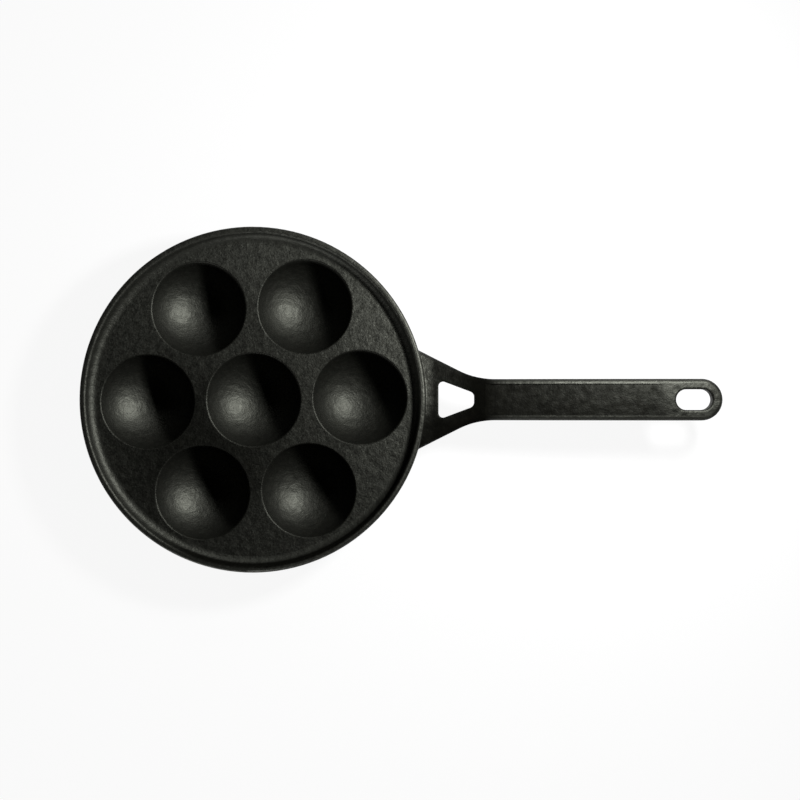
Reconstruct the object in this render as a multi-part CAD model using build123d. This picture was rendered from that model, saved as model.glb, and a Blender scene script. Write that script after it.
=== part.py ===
from build123d import *
from math import cos, pi, radians, sin, sqrt, tan
import os

# Aebleskiver pan: one grey-iron sand casting, modelled by the regions of the casting.
# Millimetres and degrees. The origin is the middle of the centre cup's flat foot, +X runs
# along the handle and +Z is up.

# Cups
cup_mouth_radius = 27.6
cup_depth = 23.5
cup_wall = 3.5
cup_foot_thickness = 2.6
cup_lip_radius = 1.0
cup_neck_fillet = 1.0
cup_land = 7.6
outer_cup_count = 6
cup_ring_turn = 1.2

# Floor and rim
floor_thickness = 4.0
floor_border = 2.4
rim_height = 6.5
rim_foot_fillet = 4.8
rim_inner_draft = 6.0
lip_width = 3.9
lip_inner_radius = 1.6
lip_outer_radius = 1.5
rim_outer_draft = 8.0
rim_under_radius = 5.0

# Handle as a whole
handle_length = 170.5
handle_width = 24.0
handle_thickness = 7.0
handle_top_round = 2.4
handle_under_round = 2.0

# Fork between rim and bar
fork_drop = 3.0
fork_length = 40.9
fork_angle = 27.0
fork_sweep_radius = 46.0
fork_root_fillet = 6.0
fork_rim_fillet = 1.0
window_offset = 7.8
window_length = 20.9
window_root_width = 23.8
window_tip_width = 7.8
window_root_radius = 2.8
window_tip_radius = 3.4
window_edge_round = 0.8

# Side view of the handle: level at the rim, up along the fork, up steeply behind the
# window, then over a long arch to the level eye
fork_seat = 2.2
fork_slope = 9.0
fork_run = 14.5
fork_bend_radius = 20.0
rise_slope = 26.0
rise_run = 2.0
rise_radius = 35.0
bar_slope = 7.5
bar_arch_radius = 860.0

# Recessed panel of the bar
panel_rail = 3.0
panel_depth = 0.8
panel_run_out = 12.0

# Hanging eye
slot_width = 11.9
slot_centre_distance = 8.9
slot_edge_round = 1.4
slot_land = 0.6

# Room past a face for whatever cuts it
overrun = 2.0

# How far up a face looks, or an edge climbs, before it counts as upright
upright_share = 0.8

# Two things this near to each other touch
touch = 0.001

# Heights that follow
floor_top = cup_depth + cup_foot_thickness
floor_under = floor_top - floor_thickness
rim_top = floor_top + rim_height
fork_top = rim_top - fork_drop
fork_under = fork_top - handle_thickness

# A cup's bowl is part of a ball, a little less than half of it
bowl_radius = (cup_mouth_radius ** 2 + cup_depth ** 2) / (2 * cup_depth)
shell_radius = bowl_radius + cup_wall
bowl_centre_height = cup_foot_thickness + bowl_radius
seat_radius = sqrt((bowl_radius + cup_lip_radius) ** 2
                   - (bowl_centre_height - floor_top + cup_lip_radius) ** 2)

# Radii that follow
cup_spacing = 2 * cup_mouth_radius + cup_land
cup_ring_radius = cup_spacing / (2 * sin(pi / outer_cup_count))
floor_radius = cup_ring_radius + cup_mouth_radius + floor_border


def heading(degrees):
    """Unit vector in the drawing plane at an angle from its first axis."""
    return Vector(cos(radians(degrees)), sin(radians(degrees)))


def short_arc(centre, start, end):
    """Arc about a centre, the short way round from start to end."""
    out = start - centre
    middle = centre + (out + end - centre).normalized() * out.length
    return ThreePointArc(start, middle, end)


def rim_edges():
    """Half section of the rim as (radius, height): its edges by name, from the floor's edge."""
    inner = radians(rim_inner_draft)
    outer = radians(rim_outer_draft)
    wall_rise = rim_height - (rim_foot_fillet + lip_inner_radius) * (1 - sin(inner))
    flat = lip_width - lip_inner_radius * cos(inner) - lip_outer_radius
    side_fall = (rim_height + floor_thickness - lip_outer_radius * (1 + sin(outer))
                 - rim_under_radius * (1 - sin(outer)))
    foot = JernArc((floor_radius, floor_top), (1, 0), rim_foot_fillet, 90 - rim_inner_draft)
    wall = PolarLine(foot @ 1, wall_rise / cos(inner), direction=foot % 1)
    lip_in = JernArc(wall @ 1, wall % 1, lip_inner_radius, rim_inner_draft - 90)
    top = PolarLine(lip_in @ 1, flat, direction=(1, 0))
    lip_out = JernArc(top @ 1, (1, 0), lip_outer_radius, -90 - rim_outer_draft)
    side = PolarLine(lip_out @ 1, side_fall / cos(outer), direction=lip_out % 1)
    under = JernArc(side @ 1, side % 1, rim_under_radius, rim_outer_draft - 90)
    back = Polyline(under @ 1, (floor_radius, floor_under), (floor_radius, floor_top))
    return {"foot": foot, "wall": wall, "lip_in": lip_in, "top": top, "lip_out": lip_out,
            "side": side, "under": under, "back": back}


def rim_wall():
    """Low wall round the pan, turned about the pan's axis."""
    return revolve(Plane.XZ * make_face(Curve() + list(rim_edges().values())), Axis.Z)


def rim_radius_at(height):
    """Radius of the rim's drafted outer face at a height."""
    side = rim_edges()["side"]
    return (side @ 0).X - ((side @ 0).Y - height) * tan(radians(rim_outer_draft))


def cup():
    """One bowl with its lip, its seat in the floor and its flat foot, on the pan's axis."""
    centre = Vector(0, bowl_centre_height)
    lip_centre = Vector(seat_radius, floor_top - cup_lip_radius)
    lip_end = centre + (lip_centre - centre).normalized() * bowl_radius
    neck_height = floor_under - cup_neck_fillet
    neck_reach = sqrt((shell_radius + cup_neck_fillet) ** 2
                      - (bowl_centre_height - neck_height) ** 2)
    neck_centre = Vector(neck_reach, neck_height)
    neck_end = centre + (neck_centre - centre).normalized() * shell_radius
    neck_start = Vector(neck_reach, floor_under)
    mouth = Vector(seat_radius, floor_top)
    bowl_foot = Vector(0, cup_foot_thickness)
    foot_edge = Vector(sqrt(shell_radius ** 2 - bowl_centre_height ** 2), 0)
    edges = [short_arc(centre, bowl_foot, lip_end),
             short_arc(lip_centre, lip_end, mouth),
             Polyline(mouth, (seat_radius, floor_under), neck_start),
             short_arc(neck_centre, neck_start, neck_end),
             short_arc(centre, neck_end, foot_edge),
             Polyline(foot_edge, (0, 0), bowl_foot)]
    return revolve(Plane.XZ * make_face(Curve() + edges), Axis.Z)


def outer_cup_places():
    """Ring of places round the centre cup, the first one nearest the handle."""
    step = 360 / outer_cup_count
    angles = [cup_ring_turn + step * place for place in range(outer_cup_count)]
    return [heading(angle) * cup_ring_radius for angle in angles]


def floor_plate():
    """Flat floor with a round seat for each cup."""
    disc = Circle(floor_radius)
    for place in [Vector(0, 0)] + outer_cup_places():
        disc -= Pos(place.X, place.Y) * Circle(seat_radius)
    return Pos(0, 0, floor_under) * extrude(disc, floor_thickness)


# Places along the handle, from the pan's axis
rim_radius = rim_radius_at(fork_top)
root_radius = rim_radius_at(fork_under)
handle_inside = floor_radius / 2
tip = rim_radius + handle_length
eye_centre = tip - handle_width / 2
bar_start = rim_radius + fork_length
panel_end = eye_centre - slot_centre_distance - slot_width / 2 - slot_edge_round - slot_land
eye_start = panel_end - panel_run_out


def handle_plan(inset):
    """Outline of the handle seen from above, moved inwards by the inset.

    Each side is an arc tangent to the rim, a straight arm, a wide sweep that turns into the
    bar, the bar, and a quarter of the round end.
    """
    half = handle_width / 2 - inset
    sweep = fork_sweep_radius + inset
    fillet_radius = fork_root_fillet + inset
    rim = root_radius - inset
    along = heading(-fork_angle)
    across = heading(90 - fork_angle)
    sweep_centre = Vector(bar_start, half + sweep)
    arm_end = sweep_centre - across * sweep
    reach = arm_end.dot(across) + fillet_radius
    root_centre = across * reach + along * sqrt((rim + fillet_radius) ** 2 - reach ** 2)
    root_start = root_centre * (rim / (rim + fillet_radius))
    arm_start = root_centre - across * fillet_radius
    bar_corner = Vector(bar_start, half)
    end_centre = Vector(eye_centre, 0)
    end_corner = Vector(eye_centre, half)
    end_tip = Vector(eye_centre + half, 0)
    side = [Polyline((handle_inside, 0), (handle_inside, root_start.Y), root_start),
            short_arc(root_centre, root_start, arm_start),
            Line(arm_start, arm_end),
            short_arc(sweep_centre, arm_end, bar_corner),
            Line(bar_corner, end_corner),
            short_arc(end_centre, end_corner, end_tip),
            Line(end_tip, (handle_inside, 0))]
    face = make_face(Curve() + side)
    return face + mirror(face, Plane.XZ)


def handle_line():
    """Upper line of the handle seen from the side, as named edges that run on smoothly."""
    seat = Line((handle_inside, fork_top), (rim_radius + fork_seat, fork_top))
    bend = JernArc(seat @ 1, seat % 1, fork_bend_radius, fork_slope)
    fork = PolarLine(bend @ 1, fork_run, direction=bend % 1)
    lift = JernArc(fork @ 1, fork % 1, rise_radius, rise_slope - fork_slope)
    rise = PolarLine(lift @ 1, rise_run, direction=lift % 1)
    crest = JernArc(rise @ 1, rise % 1, rise_radius, bar_slope - rise_slope)
    arch = JernArc(crest @ 1, crest % 1, bar_arch_radius, -bar_slope)
    level = Line(arch @ 1, (tip + overrun, (arch @ 1).Y))
    return {"seat": seat, "bend": bend, "fork": fork, "lift": lift, "rise": rise,
            "crest": crest, "arch": arch, "level": level}


handle_top = (handle_line()["level"] @ 1).Y


def handle_side():
    """Side view of the handle, of one thickness all along its upper line."""
    upper = list(handle_line().values())
    lower = [Pos(0, -handle_thickness) * edge for edge in upper]
    ends = [Line(upper[0] @ 0, lower[0] @ 0), Line(upper[-1] @ 1, lower[-1] @ 1)]
    return make_face(Curve() + upper + lower + ends)


def standing(plan):
    """A plan carried straight up through the whole height of the handle and past it."""
    height = handle_top - fork_under + 2 * overrun
    return Pos(0, 0, fork_under - overrun) * extrude(plan, height)


def lying(side_view):
    """A side view carried straight across the whole width of the handle and past it."""
    return extrude(Plane.XZ * side_view, floor_radius, both=True)


def window():
    """Opening of the fork: a triangle with its point cut off and its corners rounded."""
    near = rim_radius + window_offset
    far = near + window_length
    outline = make_face(Polyline((near, -window_root_width / 2), (far, -window_tip_width / 2),
                                 (far, window_tip_width / 2), (near, window_root_width / 2),
                                 close=True))
    outline = fillet(outline.vertices().sort_by(Axis.X)[:2], window_root_radius)
    return fillet(outline.vertices().sort_by(Axis.X)[-2:], window_tip_radius)


def slot():
    """Hanging slot, its far end on the centre of the round tip."""
    middle = eye_centre - slot_centre_distance / 2
    return Pos(middle, 0) * SlotCenterToCenter(slot_centre_distance, slot_width)


def arch_height(distance):
    """Height of the handle's arch at a distance from the pan's axis."""
    back = (handle_line()["arch"] @ 1).X - distance
    return handle_top - bar_arch_radius + sqrt(bar_arch_radius ** 2 - back ** 2)


def panel():
    """Space of the recess inside the rails.

    Its floor leaves the steep rise on a straight line, keeps under the arch, and runs out on
    a ramp before the slot.
    """
    arch = handle_line()["arch"]
    sink = Vector(0, panel_depth)
    arch_centre = Vector((arch @ 1).X, handle_top - bar_arch_radius)
    ramp_foot = Vector(eye_start, arch_height(eye_start)) - sink
    ramp_end = Vector(panel_end, arch_height(panel_end))
    begin = arch @ 0 - sink
    run_in = begin - (arch % 0) * (rise_radius * sin(radians(rise_slope - bar_slope)))
    above = handle_top + overrun
    floor = [Line(run_in, begin),
             short_arc(arch_centre - sink, begin, ramp_foot),
             Line(ramp_foot, ramp_end),
             Polyline(ramp_end, (panel_end, above), (run_in.X, above), run_in)]
    return standing(handle_plan(panel_rail)) & lying(make_face(Curve() + floor))


def rim_body():
    """Everything inside the rim's outer face, which the handle is cut back to."""
    edges = rim_edges()
    outside = [edges["lip_out"], edges["side"], edges["under"]]
    across = Polyline(outside[-1] @ 1, (0, floor_under), (0, rim_top), outside[0] @ 0)
    return revolve(Plane.XZ * make_face(Curve() + outside + across), Axis.Z)


def outer_edges(body, side):
    """Edges all round the upper (side 1) or under (side -1) surface of a body."""
    faces = body.faces().filter_by(lambda face: side * face.normal_at().Z > upright_share)
    edges = [edge for face in faces for edge in face.edges()]
    return ShapeList(edge for edge in edges if sum(edge.is_same(other) for other in edges) == 1)


def cut_with_rounded_edges(body, opening, radius):
    """Cut an opening straight through and round the edges it leaves above and below."""
    tool = standing(opening)
    body = body - tool
    edges = body.edges().filter_by(lambda edge: abs((edge % 0).Z) < upright_share)
    rims = edges.filter_by(lambda edge: all(end.distance_to(tool) < touch
                                            for end in edge.vertices()))
    return fillet(rims, radius)


def fork_fillet_ring():
    """Casting fillet between the rim's outer face and the fork, as a ring round the pan."""
    draft = radians(rim_outer_draft)
    centre = Vector(rim_radius + fork_rim_fillet * (1 + sin(draft)) / cos(draft),
                    fork_top + fork_rim_fillet)
    foot = Vector(centre.X, fork_top)
    head = centre + Vector(-cos(draft), sin(draft)) * fork_rim_fillet
    edges = [short_arc(centre, foot, head),
             Polyline(head, (floor_radius, head.Y), (floor_radius, fork_top - overrun),
                      (foot.X, fork_top - overrun), foot)]
    ring = revolve(Plane.XZ * make_face(Curve() + edges), Axis.Z)
    return ring & standing(handle_plan(handle_top_round))


def handle():
    """Whole handle: plan and side view crossed, edges rounded, openings cut, panel sunk."""
    body = standing(handle_plan(0)) & lying(handle_side())
    body = fillet(outer_edges(body, 1), handle_top_round)
    body = fillet(outer_edges(body, -1), handle_under_round)
    body = cut_with_rounded_edges(body, window(), window_edge_round)
    body = cut_with_rounded_edges(body, slot(), slot_edge_round)
    return body - panel() + fork_fillet_ring() - rim_body()


def handle_part(start, end):
    """Stretch of the handle between two distances from the pan's axis."""
    length = end - start
    stretch = Pos(start + length / 2, 0, 0) * Box(length, floor_radius, 2 * handle_top + overrun)
    return whole_handle & stretch


whole_handle = handle()
pan_cup = cup()

nodes = {
    "rim_wall": rim_wall(),
    "floor_plate": floor_plate(),
    "center_cup": pan_cup,
    "handle_fork": handle_part(handle_inside, bar_start),
    "handle_grip": handle_part(bar_start, eye_start),
    "hanging_eye": handle_part(eye_start, tip + overrun),
}
for number, place in enumerate(outer_cup_places(), start=1):
    nodes[f"outer_cup_{number}"] = Pos(place.X, place.Y) * pan_cup

os.makedirs("parts", exist_ok=True)
for name, solid in nodes.items():
    export_step(solid, f"parts/{name}.step")
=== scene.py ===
import bpy
from math import cos, radians, sin
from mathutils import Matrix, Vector

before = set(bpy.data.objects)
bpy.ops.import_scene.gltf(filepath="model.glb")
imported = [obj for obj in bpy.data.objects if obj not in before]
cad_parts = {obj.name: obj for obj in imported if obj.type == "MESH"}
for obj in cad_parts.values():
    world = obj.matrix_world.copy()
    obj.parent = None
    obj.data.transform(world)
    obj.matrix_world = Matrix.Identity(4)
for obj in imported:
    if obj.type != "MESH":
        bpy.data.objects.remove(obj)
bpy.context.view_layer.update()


# Rim wall
# The low wall round the pan, poured in green sand in one piece with the rest, shot-blasted and
# oven-seasoned: the baked oil is a nearly black, slightly olive skin, satin on the sand's marks.
mm = 0.001


def linear(hex_colour):
    """sRGB hex colour to linear RGBA."""
    channels = [int(hex_colour[i:i + 2], 16) / 255 for i in (1, 3, 5)]
    return [c / 12.92 if c <= 0.04045 else ((c + 0.055) / 1.055) ** 2.4
            for c in channels] + [1.0]


def add(tree, kind, settings=None, **inputs):
    """Adds a node, sets its properties and its inputs; a socket as a value makes a link.

    An input is given by its name, or by _ and its number where names repeat.
    """
    node = tree.nodes.new(kind)
    for name, value in (settings or {}).items():
        setattr(node, name, value)
    for name, value in inputs.items():
        key = int(name[1:]) if name[0] == "_" else name.replace("_", " ")
        if isinstance(value, bpy.types.NodeSocket):
            tree.links.new(value, node.inputs[key])
        else:
            node.inputs[key].default_value = value
    return node


def cast_iron(name, sheen, crown=None):
    """Seasoned cast iron.

    sheen gives the specular level and crown the normal, from the tree and the place.
    """
    material = bpy.data.materials.new(name)
    material.use_nodes = True
    tree = material.node_tree
    tree.nodes.clear()
    place = add(tree, "ShaderNodeTexCoord").outputs["Object"]
    shape = {"Normal": crown(tree, place)} if crown else {}
    # The mould's surface waves slowly
    ripple_size, ripple_height = 5 * mm, 0.42 * mm
    ripple = add(tree, "ShaderNodeTexNoise", Vector=place, Scale=1 / ripple_size, Detail=1.0,
                 Roughness=0.5).outputs["Fac"]
    wave = add(tree, "ShaderNodeBump", Strength=1.0, Distance=ripple_height, Height=ripple,
               **shape).outputs["Normal"]
    # On it sit the marks of the sand: clumps, as its grains are too fine to show
    clump_size, clump_height = 1.1 * mm, 0.19 * mm
    grain = add(tree, "ShaderNodeTexNoise", Vector=place, Scale=1 / clump_size, Detail=1.5,
                Roughness=0.6).outputs["Fac"]
    bump = add(tree, "ShaderNodeBump", Strength=1.0, Distance=clump_height, Height=grain,
               Normal=wave).outputs["Normal"]
    # The oil has pooled a little thicker, browner and duller in patches
    patch_size = 3 * mm
    thin_oil, thick_oil = linear("#030303"), linear("#0b0b08")
    patches = add(tree, "ShaderNodeTexNoise", Vector=place, Scale=1 / patch_size, Detail=3.0,
                  Roughness=0.6).outputs["Fac"]
    colour = add(tree, "ShaderNodeMix", {"data_type": "RGBA"}, Factor=patches, _6=thin_oil,
                 _7=thick_oil).outputs[2]
    roughness = add(tree, "ShaderNodeMapRange", Value=patches, From_Min=0.3, From_Max=0.7,
                    To_Min=0.51, To_Max=0.59).outputs["Result"]
    # Baked oil is a clear resin: not metallic, half rough, so a wide soft highlight of a
    # faintly green tint
    resin_ior = 1.5
    tint = (0.97, 1.0, 0.86, 1.0)
    shader = add(tree, "ShaderNodeBsdfPrincipled", Base_Color=colour, Roughness=roughness,
                 Metallic=0.0, IOR=resin_ior, Specular_IOR_Level=sheen(tree, place),
                 Specular_Tint=tint, Normal=bump)
    add(tree, "ShaderNodeOutputMaterial", Surface=shader.outputs["BSDF"])
    return material


def coat(names, material):
    """Gives CAD nodes a material."""
    for name in names:
        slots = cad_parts[name].data.materials
        slots.clear()
        slots.append(material)


def from_axis(tree, place):
    """Distance from the pan's upright axis."""
    flat = add(tree, "ShaderNodeVectorMath", {"operation": "MULTIPLY"}, _0=place,
               _1=(1, 1, 0)).outputs["Vector"]
    return add(tree, "ShaderNodeVectorMath", {"operation": "LENGTH"}, _0=flat).outputs["Value"]


def wall_sheen(tree, place):
    """Specular level 0.5, and 0.05 in a line of painted shade round part of the wall's inside."""
    level = 0.5
    # The line is about 2.5 mm wide. Its middle lies 60 degrees clockwise from the handle,
    # and it fades out from 65 to 35 mm in that direction.
    line_radius, dark_to, gone_at = 97.7 * mm, 0.7 * mm, 1.8 * mm
    lost = 0.9
    direction = (0.5, -0.87, 0)
    starts, full = 35 * mm, 65 * mm
    off = add(tree, "ShaderNodeMath", {"operation": "SUBTRACT"}, _0=from_axis(tree, place),
              _1=line_radius).outputs[0]
    off = add(tree, "ShaderNodeMath", {"operation": "ABSOLUTE"}, _0=off).outputs[0]
    line = add(tree, "ShaderNodeMapRange", {"interpolation_type": "SMOOTHSTEP"}, Value=off,
               From_Min=dark_to, From_Max=gone_at, To_Min=lost, To_Max=0.0).outputs["Result"]
    side = add(tree, "ShaderNodeVectorMath", {"operation": "DOT_PRODUCT"}, _0=place,
               _1=direction).outputs["Value"]
    side = add(tree, "ShaderNodeMapRange", {"interpolation_type": "SMOOTHSTEP"}, Value=side,
               From_Min=starts, From_Max=full, To_Min=0.0, To_Max=1.0).outputs["Result"]
    line = add(tree, "ShaderNodeMath", {"operation": "MULTIPLY"}, _0=line, _1=side).outputs[0]
    return add(tree, "ShaderNodeMath", {"operation": "MULTIPLY_ADD"}, _0=line, _1=-level,
               _2=level).outputs[0]


coat(["rim_wall"], cast_iron("seasoned_cast_iron_rim", wall_sheen))


# Floor plate
# The flat web between the cups, cast with them. The skin and its grain run on from the rim,
# but between the cups a lower sheen is painted shade, duller than in the ring along the rim.
def ragged(tree, place, distance, size, roughness, spread):
    """Adds noise from 0 to spread to a distance, so that what depends on it gets a ragged edge."""
    noise = add(tree, "ShaderNodeTexNoise", Vector=place, Scale=1 / size, Detail=4.0,
                Roughness=roughness).outputs["Fac"]
    return add(tree, "ShaderNodeMath", {"operation": "MULTIPLY_ADD"}, _0=noise, _1=spread,
               _2=distance).outputs[0]


def dull_patch(tree, place):
    """Factor from 0.44 to 1: lower in a patch near three of the cups."""
    middle = (-33 * mm, -30 * mm, 26 * mm)
    starts, ends, spread = 20 * mm, 62 * mm, 50 * mm
    apart = add(tree, "ShaderNodeVectorMath", {"operation": "DISTANCE"}, _0=place,
                _1=middle).outputs["Value"]
    apart = ragged(tree, place, apart, 4 * mm, 0.7, spread)
    return add(tree, "ShaderNodeMapRange", {"interpolation_type": "SMOOTHSTEP"}, Value=apart,
               From_Min=starts + spread / 2, From_Max=ends + spread / 2, To_Min=0.44,
               To_Max=1.0).outputs["Result"]


def floor_sheen(tree, place):
    """Specular level 0.38 between the cups, as painted shade, and 0.53 in the ring, times three
    factors.
    """
    between_cups, in_ring = 0.38, 0.53
    starts, ends, spread = 54 * mm, 74 * mm, 40 * mm
    outward = ragged(tree, place, from_axis(tree, place), 3 * mm, 0.7, spread)
    level = add(tree, "ShaderNodeMapRange", {"interpolation_type": "SMOOTHSTEP"},
                Value=outward, From_Min=starts + spread / 2, From_Max=ends + spread / 2,
                To_Min=between_cups, To_Max=in_ring).outputs["Result"]
    # Painted light: the level rises away from the handle and towards +Y, by up to 30 % at the
    # floor's edge
    gain_per_metre = (-2.4, 2.1, 0)
    painted_light_gradient = add(tree, "ShaderNodeVectorMath", {"operation": "DOT_PRODUCT"}, _0=place,
                _1=gain_per_metre).outputs["Value"]
    painted_light_gradient = add(tree, "ShaderNodeMath", {"operation": "ADD"}, _0=painted_light_gradient, _1=1.0).outputs[0]
    # Pinholes and crumbs of burnt oil
    speckle_size = 1.4 * mm
    speckle = add(tree, "ShaderNodeTexNoise", Vector=place, Scale=1 / speckle_size, Detail=4.0,
                  Roughness=0.75).outputs["Fac"]
    speckle = add(tree, "ShaderNodeMapRange", Value=speckle, From_Min=0.35, From_Max=0.65,
                  To_Min=0.45, To_Max=1.5).outputs["Result"]
    for factor in (dull_patch(tree, place), painted_light_gradient, speckle):
        level = add(tree, "ShaderNodeMath", {"operation": "MULTIPLY"}, _0=level,
                    _1=factor).outputs[0]
    return level


coat(["floor_plate"], cast_iron("seasoned_cast_iron_floor", floor_sheen))


# Cups
# The middle cup and the six round it, ball-shaped bowls with a rounded lip, cast into the
# floor. A lower sheen on the upper wall is painted shade; the foot keeps the full sheen.
def bowl_sheen(tree, place):
    """Specular level: 0.51 at the middle cup's foot, down to 55 % of that at its lip."""
    foot_level, at_lip = 0.51, 0.55
    starts, lip, spread = 8 * mm, 26 * mm, 16 * mm
    # Painted shade: the sheen falls from the foot towards the upper wall
    height = add(tree, "ShaderNodeSeparateXYZ", Vector=place).outputs["Z"]
    height = ragged(tree, place, height, 1.8 * mm, 0.75, spread)
    painted_wall_shade = add(tree, "ShaderNodeMapRange", Value=height, From_Min=starts + spread / 2,
                From_Max=lip + spread / 2, To_Min=1.0, To_Max=at_lip).outputs["Result"]
    # Painted light: the cups away from the handle get more sheen, evening out the lamp's fall
    gain_per_metre = (-2.2, 0, 0)
    painted_light_gradient = add(tree, "ShaderNodeVectorMath", {"operation": "DOT_PRODUCT"}, _0=place,
                _1=gain_per_metre).outputs["Value"]
    painted_light_gradient = add(tree, "ShaderNodeMath", {"operation": "ADD"}, _0=painted_light_gradient,
                _1=foot_level).outputs[0]
    return add(tree, "ShaderNodeMath", {"operation": "MULTIPLY"}, _0=painted_light_gradient,
               _1=painted_wall_shade).outputs[0]


coat(["center_cup"] + [f"outer_cup_{number}" for number in range(1, 7)],
     cast_iron("seasoned_cast_iron_cups", bowl_sheen))


# Handle
# Fork, bar and hanging eye, cast on to the rim. The fork and the recess get a low sheen, as
# painted shade; the borders and the eye a higher one, as painted highlight.
def handle_sheen(tree, place):
    """Specular level: along the handle by the stops, and on the borders at least 0.43."""
    axes = add(tree, "ShaderNodeSeparateXYZ", Vector=place).outputs
    # Painted shade: low levels on the fork and waist; painted highlight: higher ones at the eye
    # Distance from the pan's axis in mm, and the level there
    reach = 300
    stops = [(103, 0.50), (107, 0.17), (120, 0.08), (130, 0.015), (137, 0.01), (144, 0.075),
             (170, 0.085), (232, 0.11), (246, 0.31), (300, 0.40)]
    along = add(tree, "ShaderNodeMath", {"operation": "DIVIDE"}, _0=axes["X"],
                _1=reach * mm).outputs[0]
    ramp = add(tree, "ShaderNodeValToRGB", Fac=along)
    elements = ramp.color_ramp.elements
    while len(elements) < len(stops):
        elements.new(0.5)
    for element, (distance, level) in zip(elements, stops):
        element.position = distance / reach
        element.color = (level, level, level, 1)
    # Oil stains break the painted shade up
    stain_size = 4 * mm
    stains = add(tree, "ShaderNodeTexNoise", Vector=place, Scale=1 / stain_size, Detail=3.0,
                 Roughness=0.6).outputs["Fac"]
    stains = add(tree, "ShaderNodeMapRange", Value=stains, From_Min=0.35, From_Max=0.62,
                 To_Min=0.45, To_Max=1.1).outputs["Result"]
    painted_shade_and_stains = add(tree, "ShaderNodeMath", {"operation": "MULTIPLY"}, _0=ramp.outputs["Color"],
               _1=stains).outputs[0]
    # The fork turns into the bar here
    fork_ends, bar_starts = 136 * mm, 150 * mm
    on_bar = add(tree, "ShaderNodeMapRange", Value=axes["X"], From_Min=fork_ends,
                 From_Max=bar_starts, To_Min=0.0, To_Max=1.0).outputs["Result"]
    # Painted shade: the fork's arm on the -Y side is the dullest
    dullest_at, gone_at = -14 * mm, -5 * mm
    arm = add(tree, "ShaderNodeMapRange", Value=axes["Y"], From_Min=dullest_at,
              From_Max=gone_at, To_Min=0.15, To_Max=1.0).outputs["Result"]
    arm = add(tree, "ShaderNodeMath", {"operation": "MAXIMUM"}, _0=arm, _1=on_bar).outputs[0]
    painted_shade_and_stains = add(tree, "ShaderNodeMath", {"operation": "MULTIPLY"}, _0=painted_shade_and_stains, _1=arm).outputs[0]
    # The bar's borders begin about 9 mm from its middle line, where the recess ends
    # The borders' higher level is a painted highlight
    recess_ends, border_starts = 8.6 * mm, 9.6 * mm
    side = add(tree, "ShaderNodeMath", {"operation": "ABSOLUTE"}, _0=axes["Y"]).outputs[0]
    border = add(tree, "ShaderNodeMapRange", Value=side, From_Min=recess_ends,
                 From_Max=border_starts, To_Min=0.0, To_Max=0.43).outputs["Result"]
    border = add(tree, "ShaderNodeMath", {"operation": "MULTIPLY"}, _0=border,
                 _1=on_bar).outputs[0]
    return add(tree, "ShaderNodeMath", {"operation": "MAXIMUM"}, _0=painted_shade_and_stains, _1=border).outputs[0]


def handle_crown(tree, place):
    """Normal of an upper face that is a little round: it falls by 5.5 / m * y * y."""
    fall_per_metre = 5.5
    across = add(tree, "ShaderNodeSeparateXYZ", Vector=place).outputs["Y"]
    square = add(tree, "ShaderNodeMath", {"operation": "MULTIPLY"}, _0=across,
                 _1=across).outputs[0]
    fall = add(tree, "ShaderNodeMath", {"operation": "MULTIPLY"}, _0=square,
               _1=-fall_per_metre).outputs[0]
    return add(tree, "ShaderNodeBump", Strength=1.0, Distance=1.0, Height=fall).outputs["Normal"]


coat(["handle_fork", "handle_grip", "hanging_eye"],
     cast_iron("seasoned_cast_iron_handle", handle_sheen, handle_crown))


# Table
# A plain white table top that the pan stands on, lit like matt paper. The camera sees it
# nearly pure white, with a trace of the pan's shadow left.
def white_ray(tree, *kinds):
    """1 on rays of the given kinds, else 0."""
    rays = add(tree, "ShaderNodeLightPath").outputs
    seen = rays[kinds[0]]
    for kind in kinds[1:]:
        seen = add(tree, "ShaderNodeMath", {"operation": "MAXIMUM"}, _0=seen,
                   _1=rays[kind]).outputs[0]
    return seen


table_material = bpy.data.materials.new("white_table")
table_material.use_nodes = True
tree = table_material.node_tree
tree.nodes.clear()
glow_share = 0.92
share = add(tree, "ShaderNodeMath", {"operation": "MULTIPLY"}, _1=glow_share,
            _0=white_ray(tree, "Is Camera Ray", "Is Glossy Ray", "Is Transmission Ray"))
matt = add(tree, "ShaderNodeBsdfDiffuse", Color=linear("#f0f0f0"))
glow = add(tree, "ShaderNodeEmission", Color=(1, 1, 1, 1), Strength=1.0)
surface = add(tree, "ShaderNodeMixShader", Fac=share.outputs[0], _1=matt.outputs[0],
              _2=glow.outputs[0])
add(tree, "ShaderNodeOutputMaterial", Surface=surface.outputs[0])

half = 3.0
corners = [(-half, -half, 0), (half, -half, 0), (half, half, 0), (-half, half, 0)]
table_mesh = bpy.data.meshes.new("table")
table_mesh.from_pydata(corners, [], [(0, 1, 2, 3)])
table_mesh.materials.append(table_material)
table = bpy.data.objects.new("table", table_mesh)
bpy.context.collection.objects.link(table)


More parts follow.
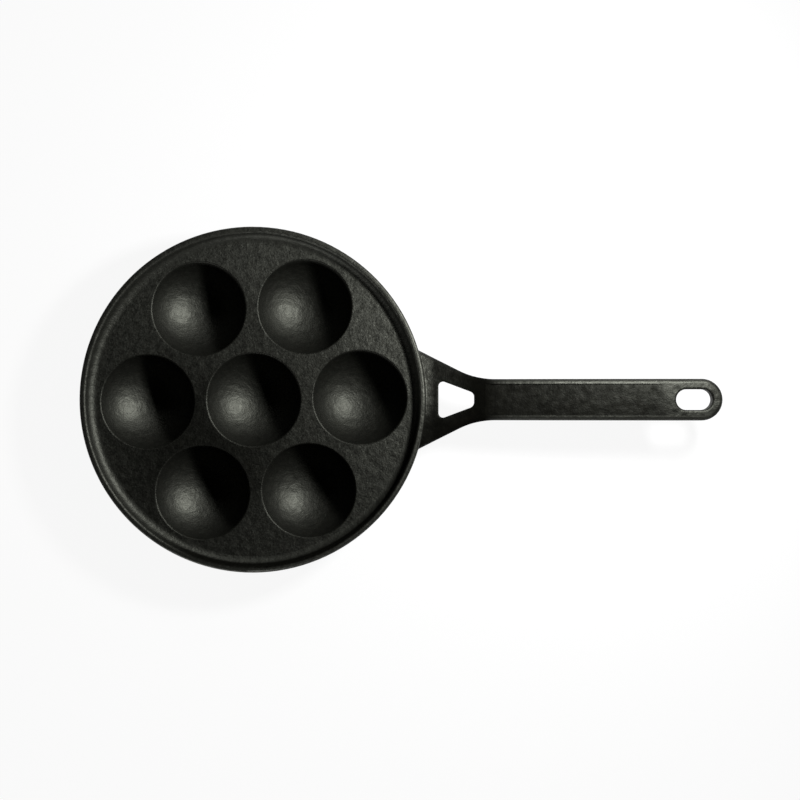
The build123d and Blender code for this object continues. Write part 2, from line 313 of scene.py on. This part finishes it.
# Light
# A small soft lamp on the handle's side, a weak wide one, and a low strip behind the pan for
# the rim's inner wall across from it. The room is dark; past the table the camera sees white.
floor_top = 26.1 * mm


def softbox(name, azimuth, elevation, distance, width, height, power):
    """A rectangular lamp in a direction in degrees, looking at the middle of the floor."""
    turn, lift = radians(azimuth), radians(elevation)
    way = Vector((cos(turn) * cos(lift), sin(turn) * cos(lift), sin(lift)))
    light = bpy.data.lights.new(name, "AREA")
    light.shape = "RECTANGLE"
    light.size, light.size_y = width, height
    light.energy = power
    lamp = bpy.data.objects.new(name, light)
    lamp.location = Vector((0, 0, floor_top)) + way * distance
    lamp.rotation_euler = (-way).to_track_quat("-Z", "Y").to_euler()
    lamp.visible_camera = False
    bpy.context.collection.objects.link(lamp)


softbox("key", azimuth=22, elevation=38.5, distance=0.38, width=0.064, height=0.048, power=2.7)
softbox("strip", azimuth=70, elevation=36, distance=0.8, width=0.9, height=0.10, power=0.7)
softbox("low strip", azimuth=246, elevation=3.5, distance=0.8, width=0.4, height=0.03,
        power=2.8)

world = bpy.data.worlds.new("studio")
bpy.context.scene.world = world
world.use_nodes = True
tree = world.node_tree
tree.nodes.clear()
room = add(tree, "ShaderNodeBackground", Color=(1, 1, 1, 1), Strength=0.001)
white = add(tree, "ShaderNodeBackground", Color=(1, 1, 1, 1), Strength=1.0)
surface = add(tree, "ShaderNodeMixShader", _1=room.outputs[0], _2=white.outputs[0],
              Fac=white_ray(tree, "Is Camera Ray", "Is Transmission Ray"))
add(tree, "ShaderNodeOutputWorld", Surface=surface.outputs[0])


# Camera
# Straight above, over the middle of pan and handle, with the pan across most of the picture's
# width.
rim_top = 32.6 * mm
over_rim = 644.2 * mm
camera_data = bpy.data.cameras.new("camera")
camera_data.lens = 49.5
camera_data.sensor_width = 36
camera = bpy.data.objects.new("camera", camera_data)
camera.location = (86.5 * mm, -0.2 * mm, rim_top + over_rim)
bpy.context.collection.objects.link(camera)
bpy.context.scene.camera = camera

bpy.context.scene.view_settings.view_transform = "Standard"
